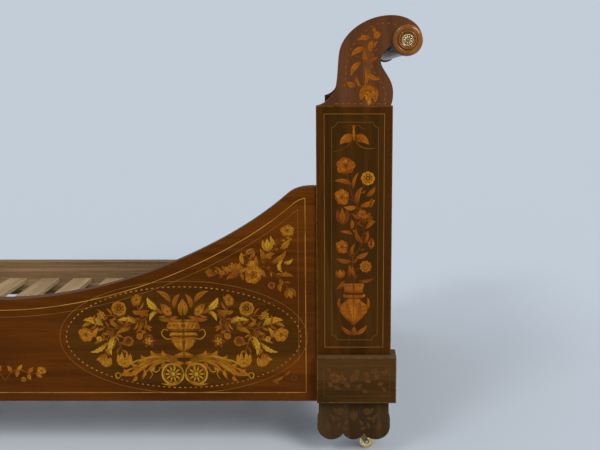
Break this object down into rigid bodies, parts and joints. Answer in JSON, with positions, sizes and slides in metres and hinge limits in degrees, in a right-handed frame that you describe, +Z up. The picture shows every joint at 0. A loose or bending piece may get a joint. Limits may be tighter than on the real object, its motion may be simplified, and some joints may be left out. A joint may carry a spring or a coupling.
{
  "type": "sleigh bed",
  "caption": "Wooden sleigh bed with scroll-topped plank posts, turned end rolls, a deep shaped front rail, a plain back rail, a slatted deck and swivel casters.",
  "frame": {"origin": "centre of the bed on the floor, at the bottom of the bounding box", "axes": "+X along the bed towards its right-hand end seen from the show side, +Y from the show side to the plain back, +Z up"},
  "size_m": [2.327, 1.33, 1.2295],
  "materials": {
    "carcass_wood": "dark polished walnut veneer",
    "veneered_wood": "polished reddish walnut veneer",
    "rail_veneer": "polished warm walnut veneer with floral marquetry",
    "turned_wood": "polished turned walnut",
    "secondary_wood": "plain waxed oak",
    "slat_wood": "bare planed pine",
    "brass": "aged brass",
    "steel": "plain turned steel",
    "iron": "blackened iron"
  },
  "bodies": {
    "root": {"post_front_right": "carcass_wood", "post_front_left": "carcass_wood", "post_back_right": "carcass_wood", "post_back_left": "carcass_wood", "scroll_front_right": "veneered_wood", "scroll_front_left": "veneered_wood", "scroll_back_right": "veneered_wood", "scroll_back_left": "veneered_wood", "plinth_front_right": "carcass_wood", "plinth_front_left": "carcass_wood", "plinth_back_right": "carcass_wood", "plinth_back_left": "carcass_wood", "foot_front_right": "carcass_wood", "foot_front_left": "carcass_wood", "foot_back_right": "carcass_wood", "foot_back_left": "carcass_wood", "roll_cap_front_right": "turned_wood", "roll_cap_front_left": "turned_wood", "roll_cap_back_right": "turned_wood", "roll_cap_back_left": "turned_wood", "rosette_front_right": "brass", "rosette_front_left": "brass", "rosette_back_right": "brass", "rosette_back_left": "brass", "caster_plate_front_right": "brass", "caster_plate_front_left": "brass", "caster_plate_back_right": "brass", "caster_plate_back_left": "brass", "roll_right": "turned_wood", "roll_left": "turned_wood", "crest_board_right": "veneered_wood", "crest_board_left": "veneered_wood", "end_top_rail_right": "carcass_wood", "end_top_rail_left": "carcass_wood", "end_panel_right": "veneered_wood", "end_panel_left": "veneered_wood", "end_bottom_rail_right": "carcass_wood", "end_bottom_rail_left": "carcass_wood", "side_rail_front": "rail_veneer", "side_rail_back": "secondary_wood", "cleat_front": "secondary_wood", "cleat_back": "secondary_wood", "slats": "slat_wood", "hook_plates": "iron", "receiver_plates": "iron", "scroll_dowels": "secondary_wood", "cleat_screws": "iron", "caster_screws": "brass"},
    "fork_front_right": {"caster_fork_front_right": "brass", "caster_axle_front_right": "steel"},
    "wheel_front_right": {"caster_wheel_front_right": "brass"},
    "fork_front_left": {"caster_fork_front_left": "brass", "caster_axle_front_left": "steel"},
    "wheel_front_left": {"caster_wheel_front_left": "brass"},
    "fork_back_right": {"caster_fork_back_right": "brass", "caster_axle_back_right": "steel"},
    "wheel_back_right": {"caster_wheel_back_right": "brass"},
    "fork_back_left": {"caster_fork_back_left": "brass", "caster_axle_back_left": "steel"},
    "wheel_back_left": {"caster_wheel_back_left": "brass"}
  },
  "joints": [
    {"name": "swivel_front_right", "type": "hinge", "parent": "root", "child": "fork_front_right", "pos_m": [0.998, -0.574, 0.064], "axis": [0, 0, 1], "continuous": true},
    {"name": "roll_front_right", "type": "hinge", "parent": "fork_front_right", "child": "wheel_front_right", "pos_m": [1.022, -0.574, 0.021], "axis": [0, 1, 0], "continuous": true},
    {"name": "swivel_front_left", "type": "hinge", "parent": "root", "child": "fork_front_left", "pos_m": [-0.998, -0.574, 0.064], "axis": [0, 0, 1], "continuous": true},
    {"name": "roll_front_left", "type": "hinge", "parent": "fork_front_left", "child": "wheel_front_left", "pos_m": [-0.998, -0.55, 0.021], "axis": [-1, 0, 0], "continuous": true},
    {"name": "swivel_back_right", "type": "hinge", "parent": "root", "child": "fork_back_right", "pos_m": [0.998, 0.574, 0.064], "axis": [0, 0, 1], "continuous": true},
    {"name": "roll_back_right", "type": "hinge", "parent": "fork_back_right", "child": "wheel_back_right", "pos_m": [0.998, 0.598, 0.021], "axis": [-1, 0, 0], "continuous": true},
    {"name": "swivel_back_left", "type": "hinge", "parent": "root", "child": "fork_back_left", "pos_m": [-0.998, 0.574, 0.064], "axis": [0, 0, 1], "continuous": true},
    {"name": "roll_back_left", "type": "hinge", "parent": "fork_back_left", "child": "wheel_back_left", "pos_m": [-1.01766, 0.56023, 0.021], "axis": [0.5736, -0.8192, 0], "continuous": true}
  ]
}
